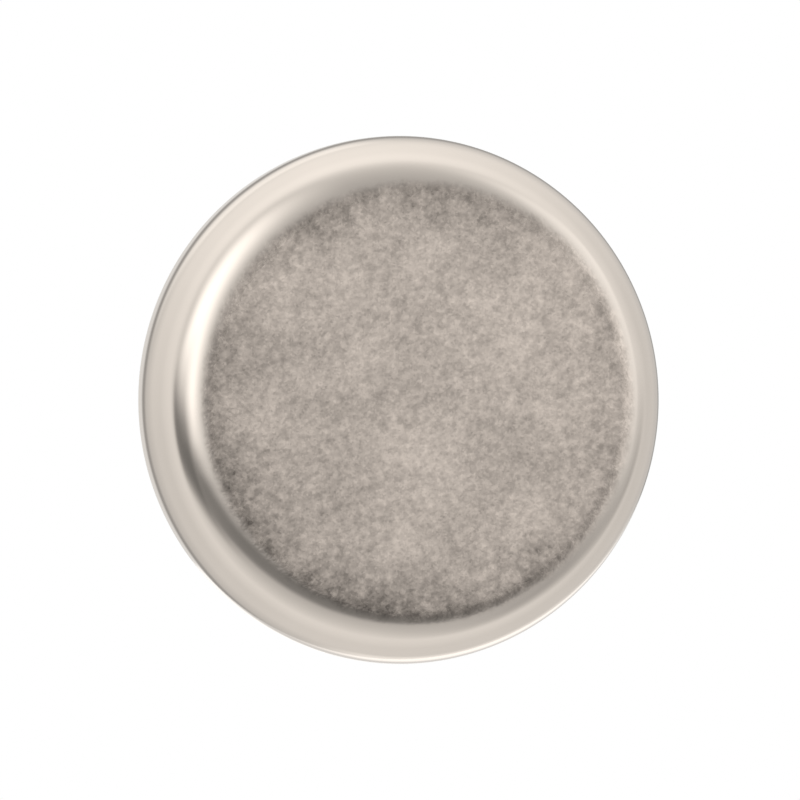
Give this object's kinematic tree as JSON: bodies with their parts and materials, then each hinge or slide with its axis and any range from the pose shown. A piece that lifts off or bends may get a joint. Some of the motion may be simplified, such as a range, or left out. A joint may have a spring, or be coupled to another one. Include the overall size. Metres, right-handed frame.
{
  "type": "nail on furniture glide",
  "caption": "Round nickel plated cup with a flat sliding face, a rubber cushion held in its rolled rim and a nail to drive into a furniture leg.",
  "frame": {"origin": "centre of the flat metal face that slides on the floor", "axes": "+Z along the nail towards its point; X and Y lie in the sliding face"},
  "size_m": [0.027, 0.027, 0.0299],
  "materials": {
    "cap_nickel": "nickel plated steel: satin flat face, polished shoulder and rim",
    "cushion_rubber": "moulded black rubber with a soft sheen",
    "nail_nickel": "nickel plated steel wire, half bright"
  },
  "bodies": {
    "root": {"glide_cap": "cap_nickel", "cushion": "cushion_rubber", "nail": "nail_nickel"}
  },
  "joints": []
}
